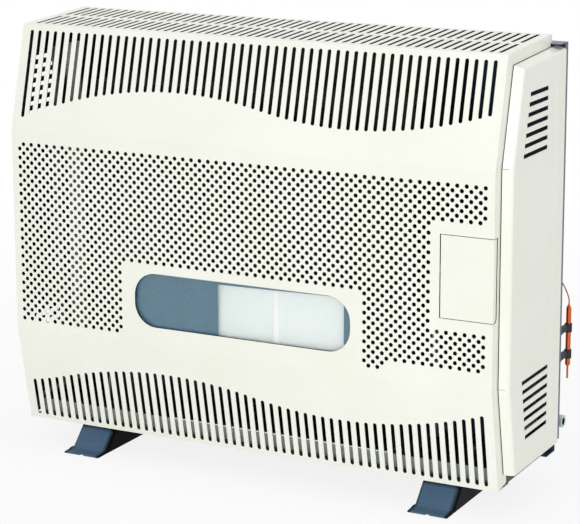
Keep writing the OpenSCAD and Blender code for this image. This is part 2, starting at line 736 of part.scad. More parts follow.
module pilot_burner() {
    z1 = ch_z[0];
    color("goldenrod") at_front() difference() {
        union() {
            rod_z(pilot_x, burner_d, 4, z1 - 14, burner_z - 2);
            rod_z(pilot_x, burner_d, 7, z1, z1 + 6);
            box([pilot_x - 5, pilot_x + 5], [burner_d - 5, burner_d + 5], [burner_z - 4, burner_z + 6]);
        }
        rod_z(pilot_x, burner_d, 2.5, z1 - 16, burner_z);
        box([pilot_x + 2, pilot_x + 8], [burner_d - 3, burner_d + 3], [burner_z - 1, burner_z + 4]);
    }
}

module thermocouple() {
    z1 = ch_z[0];
    color("peru") at_front() {
        rod_z(probe_x, burner_d, 3, z1 - 12, burner_z + 2);
        rod_z(probe_x, burner_d, 5, z1, z1 + 5);
    }
}

module spark_electrode() {
    z1 = ch_z[0];
    color("white") at_front() {
        rod_z(spark_x, burner_d, 3, z1 - 16, burner_z - 4);
        rod_z(spark_x, burner_d, 5, z1, z1 + 5);
        rod_z(spark_x, burner_d, 1, burner_z - 5, burner_z + 4);
    }
}

module injector_block() {
    z1 = ch_z[0] - plate_t;
    color("goldenrod") at_front() difference() {
        union() {
            box([inj_x - 10, inj_x + 10], [burner_d - 10, burner_d + 10], [z1 - 26, z1]);
            rod_z(inj_x, burner_d, 7, z1 - 1, ch_z[0] + 12);
        }
        rod_z(inj_x, burner_d, 1.5, z1 - 10, ch_z[0] + 14);
        rod_x(burner_d, gas_z, gas_r + fit_gap, inj_x + 2, inj_x + 11);
    }
}

module manifold_pipe() {
    color("silver") at_front() pipe_run([[valve_x[0] - 4, gas_out[0], gas_out[1]],
        [riser_x, gas_out[0], gas_out[1]], [riser_x, gas_out[0], gas_z], [riser_x, burner_d, gas_z],
        [inj_x + 4, burner_d, gas_z]], gas_r);
}

// ---------- controls ----------

module control_bracket() {
    x1 = half_w - 4;
    color("silver") at_front() difference() {
        union() {
            box([ctl_x - 40, x1], [ctl_d, ctl_d + ctl_t], [flap_z0 - 8, flap_z1 + 8]);
            box([x1 - ctl_t, x1], [ctl_d, case_d - back_t], [flap_z0 - 8, flap_z1 + 8]);
            box([x1 - 16, x1], [case_d - back_t - ctl_t, case_d - back_t], [cap_hole[1] + 14, flap_z1 + 8]);
        }
        rod_y(ctl_x, knob_z, plunger_r + 3, ctl_d - 1, ctl_d + 3);
        rod_y(ctl_x, button_z, button_r + 2.3, ctl_d - 1, ctl_d + 3);
    }
}

module gas_valve() {
    color([0.75, 0.75, 0.76]) at_front() difference() {
        union() {
            box(valve_x, valve_d, valve_z);
            rod_y(ctl_x, knob_z, plunger_r + 2.7, knob_rear + knob_push + 0.5, valve_d[0] + 1);
            rod_z(feed_x, feed_d, 9, valve_z[0] - 8, valve_z[0] + 1);
            rod_x(gas_out[0], gas_out[1], 8, valve_x[0] - 8, valve_x[0] + 1);
            rod_x(valve_d[1] - 12, knob_z + 14, 5, valve_x[0] - 6, valve_x[0] + 1);
        }
        rod_x(gas_out[0], gas_out[1], gas_r + fit_gap, valve_x[0] - 9, valve_x[0] + 2);
        rod_y(ctl_x, knob_z, plunger_r + fit_gap, ctl_d - 3, 62);
        rod_z(feed_x, feed_d, pipe_r + fit_gap, valve_z[0] - 10, valve_z[0] + 4);
    }
}

module valve_plunger() {
    color("silver") at_front() rod_y(ctl_x, knob_z, plunger_r, knob_rear - 10, 57);
}

module control_knob() {
    d0 = knob_rear - knob_l;
    color([0.12, 0.12, 0.12]) at_front() difference() {
        union() {
            rod_y(ctl_x, knob_z, knob_d / 2, d0 + 6, knob_rear);
            rod_y(ctl_x, knob_z, knob_d / 2 - 4, d0 + 4, d0 + 7);
            box([ctl_x - 5, ctl_x + 5], [d0, d0 + 7], [knob_z - knob_d / 2 + 3, knob_z + knob_d / 2 - 3]);
        }
        rod_y(ctl_x, knob_z, plunger_r + fit_gap, knob_rear - 10 - seat, knob_rear + 1);
        for (k = [0:15]) translate([ctl_x, d0 + 5, knob_z]) rotate([0, k * 22.5, 0])
            translate([knob_d / 2 + 0.6, 0, 0]) rotate([-90, 0, 0]) cylinder(r = 1.5, h = 12, $fn = 24);
    }
}

module piezo_igniter() {
    color([0.15, 0.15, 0.16]) at_front() difference() {
        union() {
            rod_y(ctl_x, button_z, button_r + 5, ctl_d - 2.5, ctl_d);
            rod_y(ctl_x, button_z, button_r + 2, ctl_d - 1, 34);
            rod_y(ctl_x, button_z, button_r + 5, ctl_d + ctl_t, 36);
            rod_y(ctl_x, button_z, button_r + 3, 35, 74);
        }
        rod_y(ctl_x, button_z, button_r + fit_gap, ctl_d - 5, 60);
    }
}

module piezo_button() {
    color("firebrick") at_front() difference() {
        rod_y(ctl_x, button_z, button_r, 15, 46);
        translate([ctl_x, 3.5, button_z]) sphere(r = 12.5);
    }
}

// ---------- gas inlet ----------

module gas_inlet_pipe() {
    color("silver") at_front() difference() {
        union() {
            pipe_run([[feed_x, feed_d, valve_z[0] + 3.5], [feed_x, feed_d, inlet_z], [feed_x, inlet_y, inlet_z],
                [inlet_x - 16, inlet_y, inlet_z]], pipe_r);
            rod_x(inlet_y, inlet_z, inlet_d / 2, inlet_x - 18, inlet_x);
            rod_x(inlet_y, inlet_z, inlet_d / 2 + 2.5, inlet_x - 24, inlet_x - 18);
        }
        rod_x(inlet_y, inlet_z, inlet_d / 2 - 3.5, inlet_x - 16, inlet_x + 1);
    }
}

// ---------- room thermostat ----------

module thermostat_bulb() {
    color([0.8, 0.42, 0.22]) at_front() translate([bulb_x, bulb_y, 0]) {
        translate([0, 0, bulb_z[0] + 4]) cylinder(d = bulb_d, h = bulb_l - 9);
        translate([0, 0, bulb_z[0]]) cylinder(d1 = 2.6, d2 = bulb_d, h = 4);
        translate([0, 0, bulb_z[1] - 5]) cylinder(d1 = bulb_d, d2 = 2, h = 5);
        translate([0, 0, bulb_z[0] - 16]) cylinder(r = 1.3, h = 16.5);
    }
}

// route of the capillary, from the bulb up behind the casing, through the back plate and on to the valve
cap_pts = [[bulb_x, bulb_y, bulb_z[1]], [bulb_x + 0.3, bulb_y - 0.5, bulb_z[1] + 5],
    [bulb_x, bulb_y - 2, bulb_z[1] + 10], [bulb_x - 2.3, bulb_y - 4, bulb_z[1] + 18],
    [bulb_x - 5, bulb_y - 7, bulb_z[1] + 26], [bulb_x - 9, bulb_y - 11, bulb_z[1] + 33],
    [cap_hole[0] + 5, case_d + 13, cap_hole[1] + 1], [cap_hole[0], case_d + 8, cap_hole[1]],
    [cap_hole[0], case_d - 14, cap_hole[1]], [cap_hole[0] - 4, 140, cap_hole[1] + 40],
    [cap_hole[0] - 10, 100, cap_hole[1] + 62], [cap_hole[0] - 10, valve_d[1] + 6, cap_hole[1] + 66],
    [cap_hole[0] - 10, valve_d[1], cap_hole[1] + 66]];

function between(p, i, t) =
    let(a = p[max(i - 1, 0)], b = p[i], c = p[i + 1], d = p[min(i + 2, len(p) - 1)])
    b + (c - a) * t / 2 + (2 * a - 5 * b + 4 * c - d) * t * t / 2 + (3 * b - a - 3 * c + d) * t * t * t / 2;
function smooth(p, k) = [for (i = [0:len(p) - 2]) for (n = [0:k - 1]) between(p, i, n / k), p[len(p) - 1]];
function ring_axis(p, i) =
    i == 0 ? unit(p[1] - p[0]) : i == len(p) - 1 ? unit(p[i] - p[i - 1]) : unit(p[i + 1] - p[i - 1]);

module wire(p, r, sides) {
    across = [1, 0.2, 0];
    pts = [for (i = [0:len(p) - 1])
        let(w = ring_axis(p, i), u = unit(across - w * (across * w)), v = cross(w, u))
        for (k = [0:sides - 1]) p[i] + r * (cos(360 * k / sides) * u + sin(360 * k / sides) * v)];
    last = (len(p) - 1) * sides;
    polyhedron(pts, concat(
        [[for (k = [0:sides - 1]) k]],
        [[for (k = [sides - 1:-1:0]) last + k]],
        [for (i = [0:len(p) - 2]) for (k = [0:sides - 1]) let(a = i * sides, n = (k + 1) % sides)
            each [[a + k, a + sides + k, a + n], [a + n, a + sides + k, a + sides + n]]]));
}

module capillary() color([0.78, 0.45, 0.28]) at_front() wire(smooth(cap_pts, 6), cap_r, 10);

clip_z = [[bulb_z[0] + 12, bulb_z[0] + 24], [bulb_z[0] + 48, bulb_z[0] + 60]];

module bulb_clips() {
    color([0.1, 0.1, 0.12]) at_front() for (z = clip_z) difference() {
        union() {
            rod_z(bulb_x, bulb_y, bulb_d / 2 + clip_t, z[0], z[1]);
            box([bulb_x - 4, bulb_x + 1], [case_d + 5, bulb_y - 2], [z[0] + 3, z[1] - 1]);
            box([bulb_x - 14, rim_x - 1], [case_d, case_d + 6], [z[0] + 3, z[1] - 1]);
        }
        rod_z(bulb_x, bulb_y, bulb_d / 2 + 0.02, z[0] - 1, z[1] + 1);
        box([bulb_x + 1, bulb_x + 9], [bulb_y - 1, bulb_y + 1], [z[0] - 1, z[1] + 1]);
    }
}

// ---------- reflector, air duct and flue ----------

refl_x = [ch_x[0] - 52, ch_x[1] + 20];
refl_z = [ch_z[0] - 26, ch_z[1] + 45];
refl_t = 1;

module reflector() {
    d0 = case_d - 19;
    d1 = case_d - back_t - seat;
    color("gainsboro") at_front() difference() {
        union() {
            box(refl_x, [d0, d0 + refl_t], refl_z);
            box([refl_x[0], refl_x[0] + refl_t], [44, d0 + refl_t], refl_z);
            box([refl_x[1] - refl_t, refl_x[1]], [66, d0 + refl_t], [ch_z[0] + 12, refl_z[1]]);
            for (x = [refl_x[0] + 14, refl_x[1] - 14]) for (z = [300, 500])
                box([x, x + 12], [d0, d1], [z, z + 10]);
        }
        rod_y(0, flue_z, air_d / 2 + 2, d0 - 2, d0 + 3);
    }
}

duct_d = [ch_d[1], case_d - 22];
duct_w = 150;
duct_z = [ch_z[0] + 15, flue_z + 75];
duct_t = 1;
duct_port_w = 110; // opening from the duct into the chamber
duct_port_z = [ch_z[0] + 25, ch_z[0] + 55];

// a tray whose open front is closed by the chamber's rear wall
module air_duct() {
    color([0.3, 0.3, 0.3]) at_front() difference() {
        box([-duct_w / 2, duct_w / 2], duct_d, duct_z);
        box([duct_t - duct_w / 2, duct_w / 2 - duct_t], [duct_d[0] - 1, duct_d[1] - duct_t],
            duct_z + [duct_t, -duct_t]);
        rod_y(0, flue_z, air_d / 2 + 0.2, duct_d[1] - 2, duct_d[1] + 1);
    }
}

module flue_spigot() {
    bead = total_d - 31; // rolled stop for the flue pipe
    color("silver") at_front() difference() {
        union() {
            rod_y(0, flue_z, flue_d / 2, ch_d[1] - ch_t, total_d);
            rod_y(0, flue_z, flue_d / 2 + 2, bead - 3, bead);
        }
        rod_y(0, flue_z, flue_d / 2 - 1, ch_d[1] - ch_t - 1, total_d + 1);
    }
}

module air_spigot() {
    color("silver") at_front() difference() {
        union() {
            rod_y(0, flue_z, air_d / 2, duct_d[1] - 1, total_d);
            rod_y(0, flue_z, air_d / 2 + 15, case_d + 2, case_d + 3.5);
        }
        rod_y(0, flue_z, air_d / 2 - 1.2, duct_d[1] - 2, total_d + 1);
    }
}

module spigot_gasket() color([0.25, 0.1, 0.1]) at_front()
    tube_y(0, flue_z, air_d / 2 + 14, air_d / 2 + 0.2, case_d, case_d + 2);

// ---------- wall rails ----------

rail_t = 1.5;
rail_z = [back_top - 36, z_bot + 74];
rail_screw_x = 200;
wall_d = case_d + wall_gap;
rail_hole_x = 160;
rail_hole_drop = 12; // wall holes below the screw line

module wall_rail(z) {
    difference() {
        union() {
            box([-230, 230], [case_d, case_d + rail_t], [z - 9, z + 9]);
            box([-230, 230], [case_d, wall_d], [z - 9, z - 9 + rail_t]);
            box([-230, 230], [wall_d - rail_t, wall_d], [z - 33, z - 9 + rail_t]);
        }
        for (x = [-1, 1]) {
            rod_y(x * rail_screw_x, z, 2.1, case_d - 1, case_d + 3);
            rod_y(x * rail_hole_x, z - 9 - rail_hole_drop, 4, wall_d - 3, wall_d + 1);
        }
    }
}

module wall_rail_upper() color("gray") at_front() wall_rail(rail_z[0]);

module wall_rail_lower() color("gray") at_front() wall_rail(rail_z[1]);

module rail_screws() {
    color("silver") at_front() for (x = [-1, 1]) for (z = rail_z) {
        rod_y(x * rail_screw_x, z, 2, case_d - back_t - 6, case_d + rail_t + 0.1);
        rod_y(x * rail_screw_x, z, 4.2, case_d + rail_t, case_d + rail_t + 2.6);
    }
}

front_cover();
side_panel_left();
side_panel_right();
back_plate();
foot_left();
foot_right();
base_tray();
window_glass();
window_gasket();
window_retainer();
access_flap();
flap_hinge_brackets();
flap_magnet();
combustion_chamber();
exchanger_fins();
sight_glass();
sight_frame();
sight_gasket();
chamber_bracket_left();
chamber_bracket_right();
burner_plate();
burner_tube();
pilot_burner();
thermocouple();
spark_electrode();
injector_block();
manifold_pipe();
gas_valve();
valve_plunger();
control_knob();
piezo_igniter();
piezo_button();
control_bracket();
gas_inlet_pipe();
thermostat_bulb();
capillary();
bulb_clips();
reflector();
air_duct();
flue_spigot();
air_spigot();
spigot_gasket();
wall_rail_upper();
wall_rail_lower();
foot_screws();
rail_screws();
cover_screws();
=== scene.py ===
"""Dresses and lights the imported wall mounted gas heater."""

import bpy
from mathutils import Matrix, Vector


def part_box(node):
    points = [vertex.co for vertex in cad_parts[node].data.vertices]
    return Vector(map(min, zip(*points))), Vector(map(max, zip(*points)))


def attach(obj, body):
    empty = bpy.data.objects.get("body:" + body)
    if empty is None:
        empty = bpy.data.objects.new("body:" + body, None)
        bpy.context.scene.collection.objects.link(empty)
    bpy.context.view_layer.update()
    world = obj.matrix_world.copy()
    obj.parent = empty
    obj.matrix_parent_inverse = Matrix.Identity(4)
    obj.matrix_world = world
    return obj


bl_info = {
    "name": "Wall mounted gas heater",
    "version": (1, 0, 0),
    "blender": (4, 5, 0),
    "location": "View3D > Sidebar > Heater",
    "description": "Enamel, glass, controls and studio for a balanced flue gas heater",
    "category": "Object",
}

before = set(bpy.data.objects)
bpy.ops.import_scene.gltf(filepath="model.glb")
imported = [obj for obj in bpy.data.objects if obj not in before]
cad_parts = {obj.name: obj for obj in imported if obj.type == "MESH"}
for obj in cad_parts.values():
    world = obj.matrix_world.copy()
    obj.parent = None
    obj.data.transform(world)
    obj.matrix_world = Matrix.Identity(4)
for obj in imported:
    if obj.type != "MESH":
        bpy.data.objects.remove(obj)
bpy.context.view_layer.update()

import math

import bmesh
import bpy
from bpy.props import FloatProperty, FloatVectorProperty, IntProperty, PointerProperty
from mathutils import Matrix, Vector

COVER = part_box("front_cover")
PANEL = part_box("side_panel_right")
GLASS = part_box("window_glass")
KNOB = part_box("control_knob")
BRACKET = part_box("control_bracket")
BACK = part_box("back_plate")
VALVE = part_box("gas_valve")
MM = 0.001

# The cover's corners seen from the side: depth behind its front and height over its lower edge.
CORNERS = ((27 * MM, 0), (0, 137 * MM), (0, 416 * MM), (36 * MM, 554 * MM))
ROUNDING = 1.19 * MM  # how far the rounded upper bend lies under its sharp corner
# How deep the enamel reaches under the skin, and over what width the painted shade of the inside takes over
# from it.
COVER_ENAMEL, PANEL_ENAMEL = 0.35 * MM, 0.9 * MM
PAINT_EDGE, DEEP_EDGE = 0.05 * MM, 0.2 * MM
# How far the planes of the inside, painted dark as shade, lie back, over the lower edge and under the top.
COVER_INSIDE = (19.2 * MM, 18.2 * MM, 15.2 * MM)
PANEL_INSIDE = (28 * MM, 20 * MM, 20 * MM)

# Where painted shade and strips of painted light change on the imported parts, from a start to an end.
# The feet's sides carry painted shade, and their tops a painted shadow under the casing.
FOOT_MIDDLE = 262 * MM
FOOT_SIDE_SHADE = (21.2 * MM, 26.5 * MM)  # from the foot's middle
FOOT_TOP_SHADOW = (-78.5 * MM, -73.5 * MM)
# Behind the tray's front the sheet is painted dark as shade.
TRAY_FRONT = (-74.6 * MM, -74.3 * MM)
# Strips of painted light on the reflector's left wall, and a fainter one at its front; the rest of it is
# painted shade.
LIT_STRIP_START, LIT_STRIP_END = (-52 * MM, -49 * MM), (-17 * MM, -13 * MM)
LIT_EDGE_STRIP = (-74 * MM, -68 * MM)
LEFT_WALL = (-306 * MM, -298 * MM)
# Painted shade inside the gas pipe's open end.
BORE_AXIS = (0, 92.35 * MM, 81 * MM)
BORE_WALL = (5 * MM, 5.2 * MM)  # from the bore's axis
BORE_END = (340 * MM, 341 * MM)

# Across and up, where the capillary and the gas pipe pass the back plate and the capillary enters the valve.
CAPILLARY_HOLE = (338 * MM, 276 * MM)
PIPE_HOLE = (330 * MM, 81 * MM)
CAPILLARY_END = (328 * MM, 342 * MM)
KNOB_TURN = 270  # the knob's travel in degrees, from the dial's first mark to its last

# The studio, in metres.
FLOOR_RADIUS, FLOOR_DROP = 6, 0.2 * MM
PAPER_FADE = (0.5, 1.8)  # from the middle, where the floor turns plain white
LAMP_TARGET = Vector((0, 0, 0.34))
CAMERA_PLACE = (1.2858148, -2.4608293, 0.943495)
CAMERA_RIGHT = (0.88739584, 0.46099787, -0.00309624)
CAMERA_UP = (-0.09237528, 0.18438939, 0.97850261)
CAMERA_BACK = (0.45165853, -0.86803313, 0.20621119)
CAMERA_SHIFT = -0.09827586
SENSOR = 36  # in millimetres


def tint(red, green, blue):
    """A colour from 0 to 255 as it looks on screen, as Blender's linear values."""
    return tuple((c / 255 / 12.92) if c <= 10 else ((c / 255 + 0.055) / 1.055) ** 2.4
                 for c in (red, green, blue))


# ---------- what a user would change ----------


def swatch(name, description, *shade):
    """A property for a colour, given from 0 to 255."""
    return FloatVectorProperty(name=name, description=description, subtype="COLOR", min=0, max=1,
                               default=tint(*shade))


def length(name, description, size):
    """A property for a length, given in millimetres."""
    return FloatProperty(name=name, description=description, unit="LENGTH", default=size * MM)


class HeaterPaint(bpy.types.PropertyGroup):
    enamel: swatch("Enamel", "Ivory stove enamel of the cover and side panels", 249, 250, 241)
    enamel_shade: swatch("Enamel shade", "Slightly deeper tone that mottles the enamel", 245, 246, 234)
    # Painted shade: a dark tone inside the cover and panels, on the louvre walls and on the cover behind the
    # panels.
    primer: swatch("Inside shade", "Dark primer on the inside of the cover and side panels", 30, 31, 31)
    slate: swatch("Slate blue", "Paint of the back plate", 52, 72, 98)
    slate_shade: swatch("Slate shade", "Deeper tone that mottles the slate blue paint", 45, 63, 88)
    print_tone: swatch("Window print", "Blue-grey layer printed behind the window glass", 68, 109, 132)


class HeaterWindow(bpy.types.PropertyGroup):
    pane_left: length("Pane left", "Left edge of the clear pane", -37.5)
    pane_right: length("Pane right", "Right edge of the clear pane", 146.5)
    pane_top: length("Pane top", "Upper left corner of the clear pane", 271.5)
    pane_rise: length("Pane rise", "Rise of the pane's upper edge to the right", 3.5)
    pane_corner: length("Pane corner", "Corner radius of the clear pane", 3)
    layer: length("Layer", "Thickness of the printed layer", 0.15)


class HeaterDial(bpy.types.PropertyGroup):
    marks: IntProperty(name="Settings", description="Numbered settings on the dial", min=2, max=9, default=7)
    radius: length("Dial radius", "Outer radius of the dial plate", 26.5)
    figure: length("Figure height", "Height of the numbers", 3.4)


class HeaterStudio(bpy.types.PropertyGroup):
    lens: FloatProperty(name="Focal length", description="Camera lens in millimetres", default=130.81586)
    sky: FloatProperty(name="Room light", description="Strength of the light from all round",
                       min=0, default=0.555)
    key: FloatProperty(name="Key lamp", description="Power of the large lamp in front", unit="POWER",
                       default=44)
    top: FloatProperty(name="Top lamp", description="Power of the lamp overhead", unit="POWER", default=15)
    paper: FloatProperty(name="Floor white", description="Share of plain white in the floor near the heater",
                         min=0, max=1, default=0.85)


# ---------- finishes ----------


class Finish:
    """A Principled material whose nodes are added one by one."""

    def __init__(self, name):
        self.material = bpy.data.materials.new(name)
        self.material.use_nodes = True
        self.tree = self.material.node_tree
        self.tree.nodes.clear()
        self.shader = self.node("ShaderNodeBsdfPrincipled")
        self.output = self.node("ShaderNodeOutputMaterial")
        self.join(self.shader.outputs[0], self.output.inputs[0])
        self.place = self.node("ShaderNodeTexCoord").outputs["Object"]

    def node(self, kind, **settings):
        made = self.tree.nodes.new(kind)
        for key, value in settings.items():
            setattr(made, key, value)
        return made

    def join(self, source, target):
        self.tree.links.new(source, target)

    def fixed(self, **values):
        for key, value in values.items():
            self.shader.inputs[key.replace("_", " ")].default_value = value
        return self

    def axes(self, place=None):
        """The parts of a place along X, Y and Z."""
        parts = self.node("ShaderNodeSeparateXYZ")
        self.join(self.place if place is None else place, parts.inputs[0])
        return parts.outputs

    def stretched(self, scale):
        mapping = self.node("ShaderNodeMapping")
        mapping.inputs["Scale"].default_value = scale
        self.join(self.place, mapping.inputs["Vector"])
        return mapping.outputs[0]

    def noise(self, scale, detail=2, stretch=None, rough=0.5):
        made = self.node("ShaderNodeTexNoise")
        made.inputs["Scale"].default_value = scale
        made.inputs["Detail"].default_value = detail
        made.inputs["Roughness"].default_value = rough
        self.join(self.stretched(stretch) if stretch else self.place, made.inputs["Vector"])
        return made.outputs["Fac"]

    def spangle(self, scale):
        made = self.node("ShaderNodeTexVoronoi")
        made.inputs["Scale"].default_value = scale
        self.join(self.place, made.inputs["Vector"])
        parts = self.node("ShaderNodeSeparateColor")
        self.join(made.outputs["Color"], parts.inputs[0])
        return parts.outputs[0]

    def spread(self, source, low, high, start=0.3, end=0.7):
        made = self.node("ShaderNodeMapRange")
        for key, value in (("From Min", start), ("From Max", end), ("To Min", low), ("To Max", high)):
            made.inputs[key].default_value = value
        self.join(source, made.inputs["Value"])
        return made.outputs[0]

    def tones(self, source, low, high, start=0.3, end=0.7):
        made = self.node("ShaderNodeMix", data_type="RGBA")
        made.inputs["A"].default_value = (*low, 1)
        made.inputs["B"].default_value = (*high, 1)
        self.join(self.spread(source, 0, 1, start, end), made.inputs["Factor"])
        return made.outputs["Result"]

    def colour(self, source, low, high, start=0.3, end=0.7):
        self.join(self.tones(source, low, high, start, end), self.shader.inputs["Base Color"])
        return self

    def maths(self, operation, first, second=0.0):
        made = self.node("ShaderNodeMath", operation=operation)
        for value, target in zip((first, second), made.inputs):
            if isinstance(value, (int, float)):
                target.default_value = value
            else:
                self.join(value, target)
        return made.outputs[0]

    def depth(self, planes):
        """How far a point lies behind the nearest of some planes, and how far from the middle.

        Each plane is a normal and a point on it, both as depth and height.
        """
        across, behind, above = self.axes()
        nearest = None
        for normal, point in planes:
            level = normal[0] * point[0] + normal[1] * point[1]
            back = self.maths("MULTIPLY", behind, normal[0])
            up = self.maths("MULTIPLY", above, normal[1])
            inside = self.maths("SUBTRACT", level, self.maths("ADD", back, up))
            nearest = inside if nearest is None else self.maths("MINIMUM", nearest, inside)
        return nearest, self.maths("ABSOLUTE", across)

    def lined(self, skin, planes, half_width, start, lining, hidden=()):
        """Changes to the lining's tone at a start behind the planes, and behind the hidden ones."""
        behind, side = self.depth(planes)
        inside = self.maths("MINIMUM", behind, self.maths("SUBTRACT", half_width, side))
        share = self.spread(inside, 0, 1, start, start + PAINT_EDGE)
        if hidden:
            deep = self.spread(self.depth(hidden)[0], 0, 1, 0, DEEP_EDGE)
            share = self.maths("MAXIMUM", share, deep)
        self.blend(skin, share, lining)

    def blend(self, skin, share, lining):
        """Changes from the skin's tone to the lining's as the share goes from 0 to 1."""
        made = self.node("ShaderNodeMix", data_type="RGBA")
        made.inputs["B"].default_value = (*lining, 1)
        self.join(skin, made.inputs["A"])
        self.join(share, made.inputs["Factor"])
        self.join(made.outputs["Result"], self.shader.inputs["Base Color"])

    def shared(self, factor, other):
        """Lets another shader take over where the factor is 1."""
        mix = self.node("ShaderNodeMixShader")
        self.join(factor, mix.inputs[0])
        self.join(self.shader.outputs[0], mix.inputs[1])
        self.join(other.outputs[0], mix.inputs[2])
        self.join(mix.outputs[0], self.output.inputs[0])

    def rough(self, source, low, high, start=0.3, end=0.7):
        self.join(self.spread(source, low, high, start, end), self.shader.inputs["Roughness"])
        return self

    def bump(self, source, height, strength):
        made = self.node("ShaderNodeBump")
        made.inputs["Strength"].default_value = strength
        made.inputs["Distance"].default_value = height
        self.join(source, made.inputs["Height"])
        self.join(made.outputs[0], self.shader.inputs["Normal"])
        return self

    def sprayed(self):
        """Gives the surface the gloss and the orange peel of sprayed paint."""
        self.rough(self.noise(24, 3), 0.3, 0.38)
        return self.bump(self.noise(900, 1), 0.02 * MM, 0.5)

    def rolled(self):
        """Gives the surface the faint waves of zinc coated sheet."""
        return self.bump(self.noise(160, 3), 0.03 * MM, 0.4)


def enamel(name, light, shade, gloss=0.25, **lining):
    """Stove enamel: faint mottling, orange peel and a soft gloss, with a dark tone on the inside as painted
    shade.
    """
    made = Finish(name).fixed(Coat_Weight=gloss, Coat_Roughness=0.12)
    if lining:
        made.lined(made.tones(made.noise(7, 3), shade, light), **lining)
    else:
        made.colour(made.noise(7, 3), shade, light)
    return made.sprayed().material


def foot_paint(name, light, shade, painted_shade):
    """Paint with painted shade on the foot's sides and a painted shadow where the foot meets the casing."""
    made = Finish(name).fixed(Specular_IOR_Level=0.02)
    across, behind, _ = made.axes()
    from_middle = made.maths("SUBTRACT", made.maths("ABSOLUTE", across), FOOT_MIDDLE)
    # Painted shade on the sides and a painted shadow at the top, where the foot meets the casing.
    sides = made.spread(made.maths("ABSOLUTE", from_middle), 0, 1, *FOOT_SIDE_SHADE)
    top = made.spread(behind, 0, 1, *FOOT_TOP_SHADOW)
    made.blend(made.tones(made.noise(7, 3), shade, light), made.maths("MAXIMUM", sides, top), painted_shade)
    return made.sprayed().material


def skin(back, down, drop):
    """The planes of the cover's outline, moved back, up from below and down from above."""
    low, high = COVER
    outline = [(low.y + behind, low.z + above) for behind, above in CORNERS] + [(high.y, high.z)]
    planes = [((0, -1), (0, low.z + down))]
    for here, there in zip(outline, outline[1:]):
        run, rise = there[0] - here[0], there[1] - here[1]
        size = math.hypot(run, rise)
        shift = (0, -drop) if there is outline[-1] else (back, 0)
        planes.append(((-rise / size, run / size), (here[0] + shift[0], here[1] + shift[1])))
    if not back:
        bend = Vector(planes[-2][0]) + Vector(planes[-1][0])
        bend.normalize()
        planes.append((tuple(bend), tuple(Vector(outline[-2]) - ROUNDING * bend)))
    return planes


def galvanised(name, low, high):
    """Zinc coated sheet with a visible spangle."""
    made = Finish(name).fixed(Metallic=0.7)
    made.colour(made.spangle(70), low, high, 0, 1)
    made.rough(made.spangle(70), 0.32, 0.5, 0, 1)
    return made.rolled().material


def dusty(name, unshaded, shade_and_speck_tone):
    """Zinc coated sheet with faint dark specks, plain on the tray's front and darkened behind it as painted
    shade.
    """
    made = Finish(name)
    # Painted shade behind the tray's front, with faint specks all over.
    behind = made.spread(made.axes()[1], 0, 1, *TRAY_FRONT)
    specks = made.maths("MULTIPLY", made.noise(30, 3), 0.15)
    made.colour(made.maths("MAXIMUM", behind, specks), unshaded, shade_and_speck_tone, 0, 1)
    made.rough(made.spangle(70), 0.4, 0.55, 0, 1)
    return made.rolled().material


def scorched(name, lit_strip_tone, reflector_shade_tone):
    """Zinc coated sheet darkened all over as painted shade, but for two strips of painted light on its left
    wall and a fainter one at its front edge.
    """
    made = Finish(name)
    across, behind, _ = made.axes()
    wavy = made.maths("ADD", behind, made.maths("MULTIPLY", made.noise(40, 3), 4 * MM))
    # The strips of painted light on the left wall; elsewhere the sheet takes the painted shade.
    unshaded = made.maths("MINIMUM", made.spread(wavy, 0, 1, *LIT_STRIP_START), made.spread(wavy, 1, 0, *LIT_STRIP_END))
    unshaded = made.maths("MAXIMUM", unshaded, made.spread(wavy, 0.3, 0, *LIT_EDGE_STRIP))
    unshaded = made.maths("MINIMUM", unshaded, made.spread(across, 1, 0, *LEFT_WALL))
    made.colour(unshaded, reflector_shade_tone, lit_strip_tone, 0, 1)
    made.rough(made.noise(60, 3), 0.42, 0.6)
    return made.rolled().material


def pipe_zinc(name, light, bore):
    """Pale zinc on the gas pipe, with painted shade inside its open end."""
    made = Finish(name).fixed(Metallic=0.2)
    from_axis = made.node("ShaderNodeVectorMath", operation="SUBTRACT")
    made.join(made.place, from_axis.inputs[0])
    from_axis.inputs[1].default_value = BORE_AXIS
    across, behind, above = made.axes(from_axis.outputs[0])
    squares = [made.maths("MULTIPLY", part, part) for part in (behind, above)]
    away = made.maths("SQRT", made.maths("ADD", *squares))
    inside = made.maths("MULTIPLY", made.spread(away, 1, 0, *BORE_WALL), made.spread(across, 0, 1, *BORE_END))
    made.colour(inside, light, bore, 0, 1)
    made.rough(made.noise(90, 3), 0.3, 0.45)
    return made.bump(made.noise(400, 2), 0.02 * MM, 0.4).material


def rolled_steel(name, low, high, grain=(4, 4, 260)):
    """Bright steel with a fine rolled grain."""
    made = Finish(name).fixed(Metallic=0.9)
    made.colour(made.noise(12, 4), low, high)
    made.rough(made.noise(1, 3, grain), 0.24, 0.42)
    return made.bump(made.noise(1, 2, tuple(4 * g for g in grain)), 0.01 * MM, 0.5).material


def turned_metal(name, low, high, rough=0.3):
    """Copper or brass with stains and small handling marks."""
    made = Finish(name).fixed(Metallic=0.9)
    made.colour(made.noise(60, 4, rough=0.65), low, high)
    made.rough(made.noise(120, 3), rough - 0.08, rough + 0.12)
    return made.bump(made.noise(700, 2), 0.01 * MM, 0.6).material


def matt(name, low, high, rough, scale=40, grain=600):
    """A dull cast, ceramic, rubber or heat proof surface."""
    made = Finish(name)
    made.colour(made.noise(scale, 4, rough=0.6), low, high)
    made.rough(made.noise(scale * 3, 2), rough - 0.06, rough + 0.06)
    return made.bump(made.noise(grain, 3), 0.04 * MM, 0.7).material


